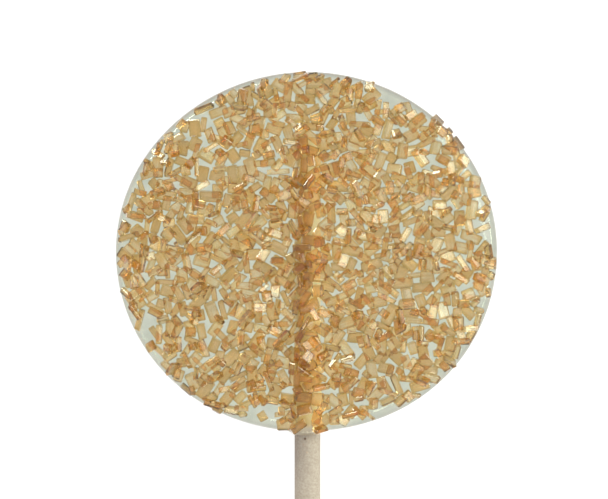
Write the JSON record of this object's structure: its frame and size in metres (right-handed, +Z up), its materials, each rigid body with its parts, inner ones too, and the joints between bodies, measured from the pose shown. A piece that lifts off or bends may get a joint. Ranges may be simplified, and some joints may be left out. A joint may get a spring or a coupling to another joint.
{
  "type": "lollipop",
  "caption": "Flat round lollipop of clear boiled sugar on a straight paper stick, its face crusted with coarse golden sugar crystals.",
  "frame": {"origin": "centre of the disc's flat back, on the surface that the lollipop lies on", "axes": "+Z up out of the crystal face; +Y from the stick's free end towards the disc, along the stick; +X across the disc"},
  "size_m": [0.0592, 0.1243, 0.0078],
  "materials": {
    "candy": "clear boiled sugar under glossy honey-coloured sugar crystals",
    "stick": "matte, faintly mottled"
  },
  "bodies": {
    "root": {"candy": "candy", "stick": "stick"}
  },
  "joints": []
}
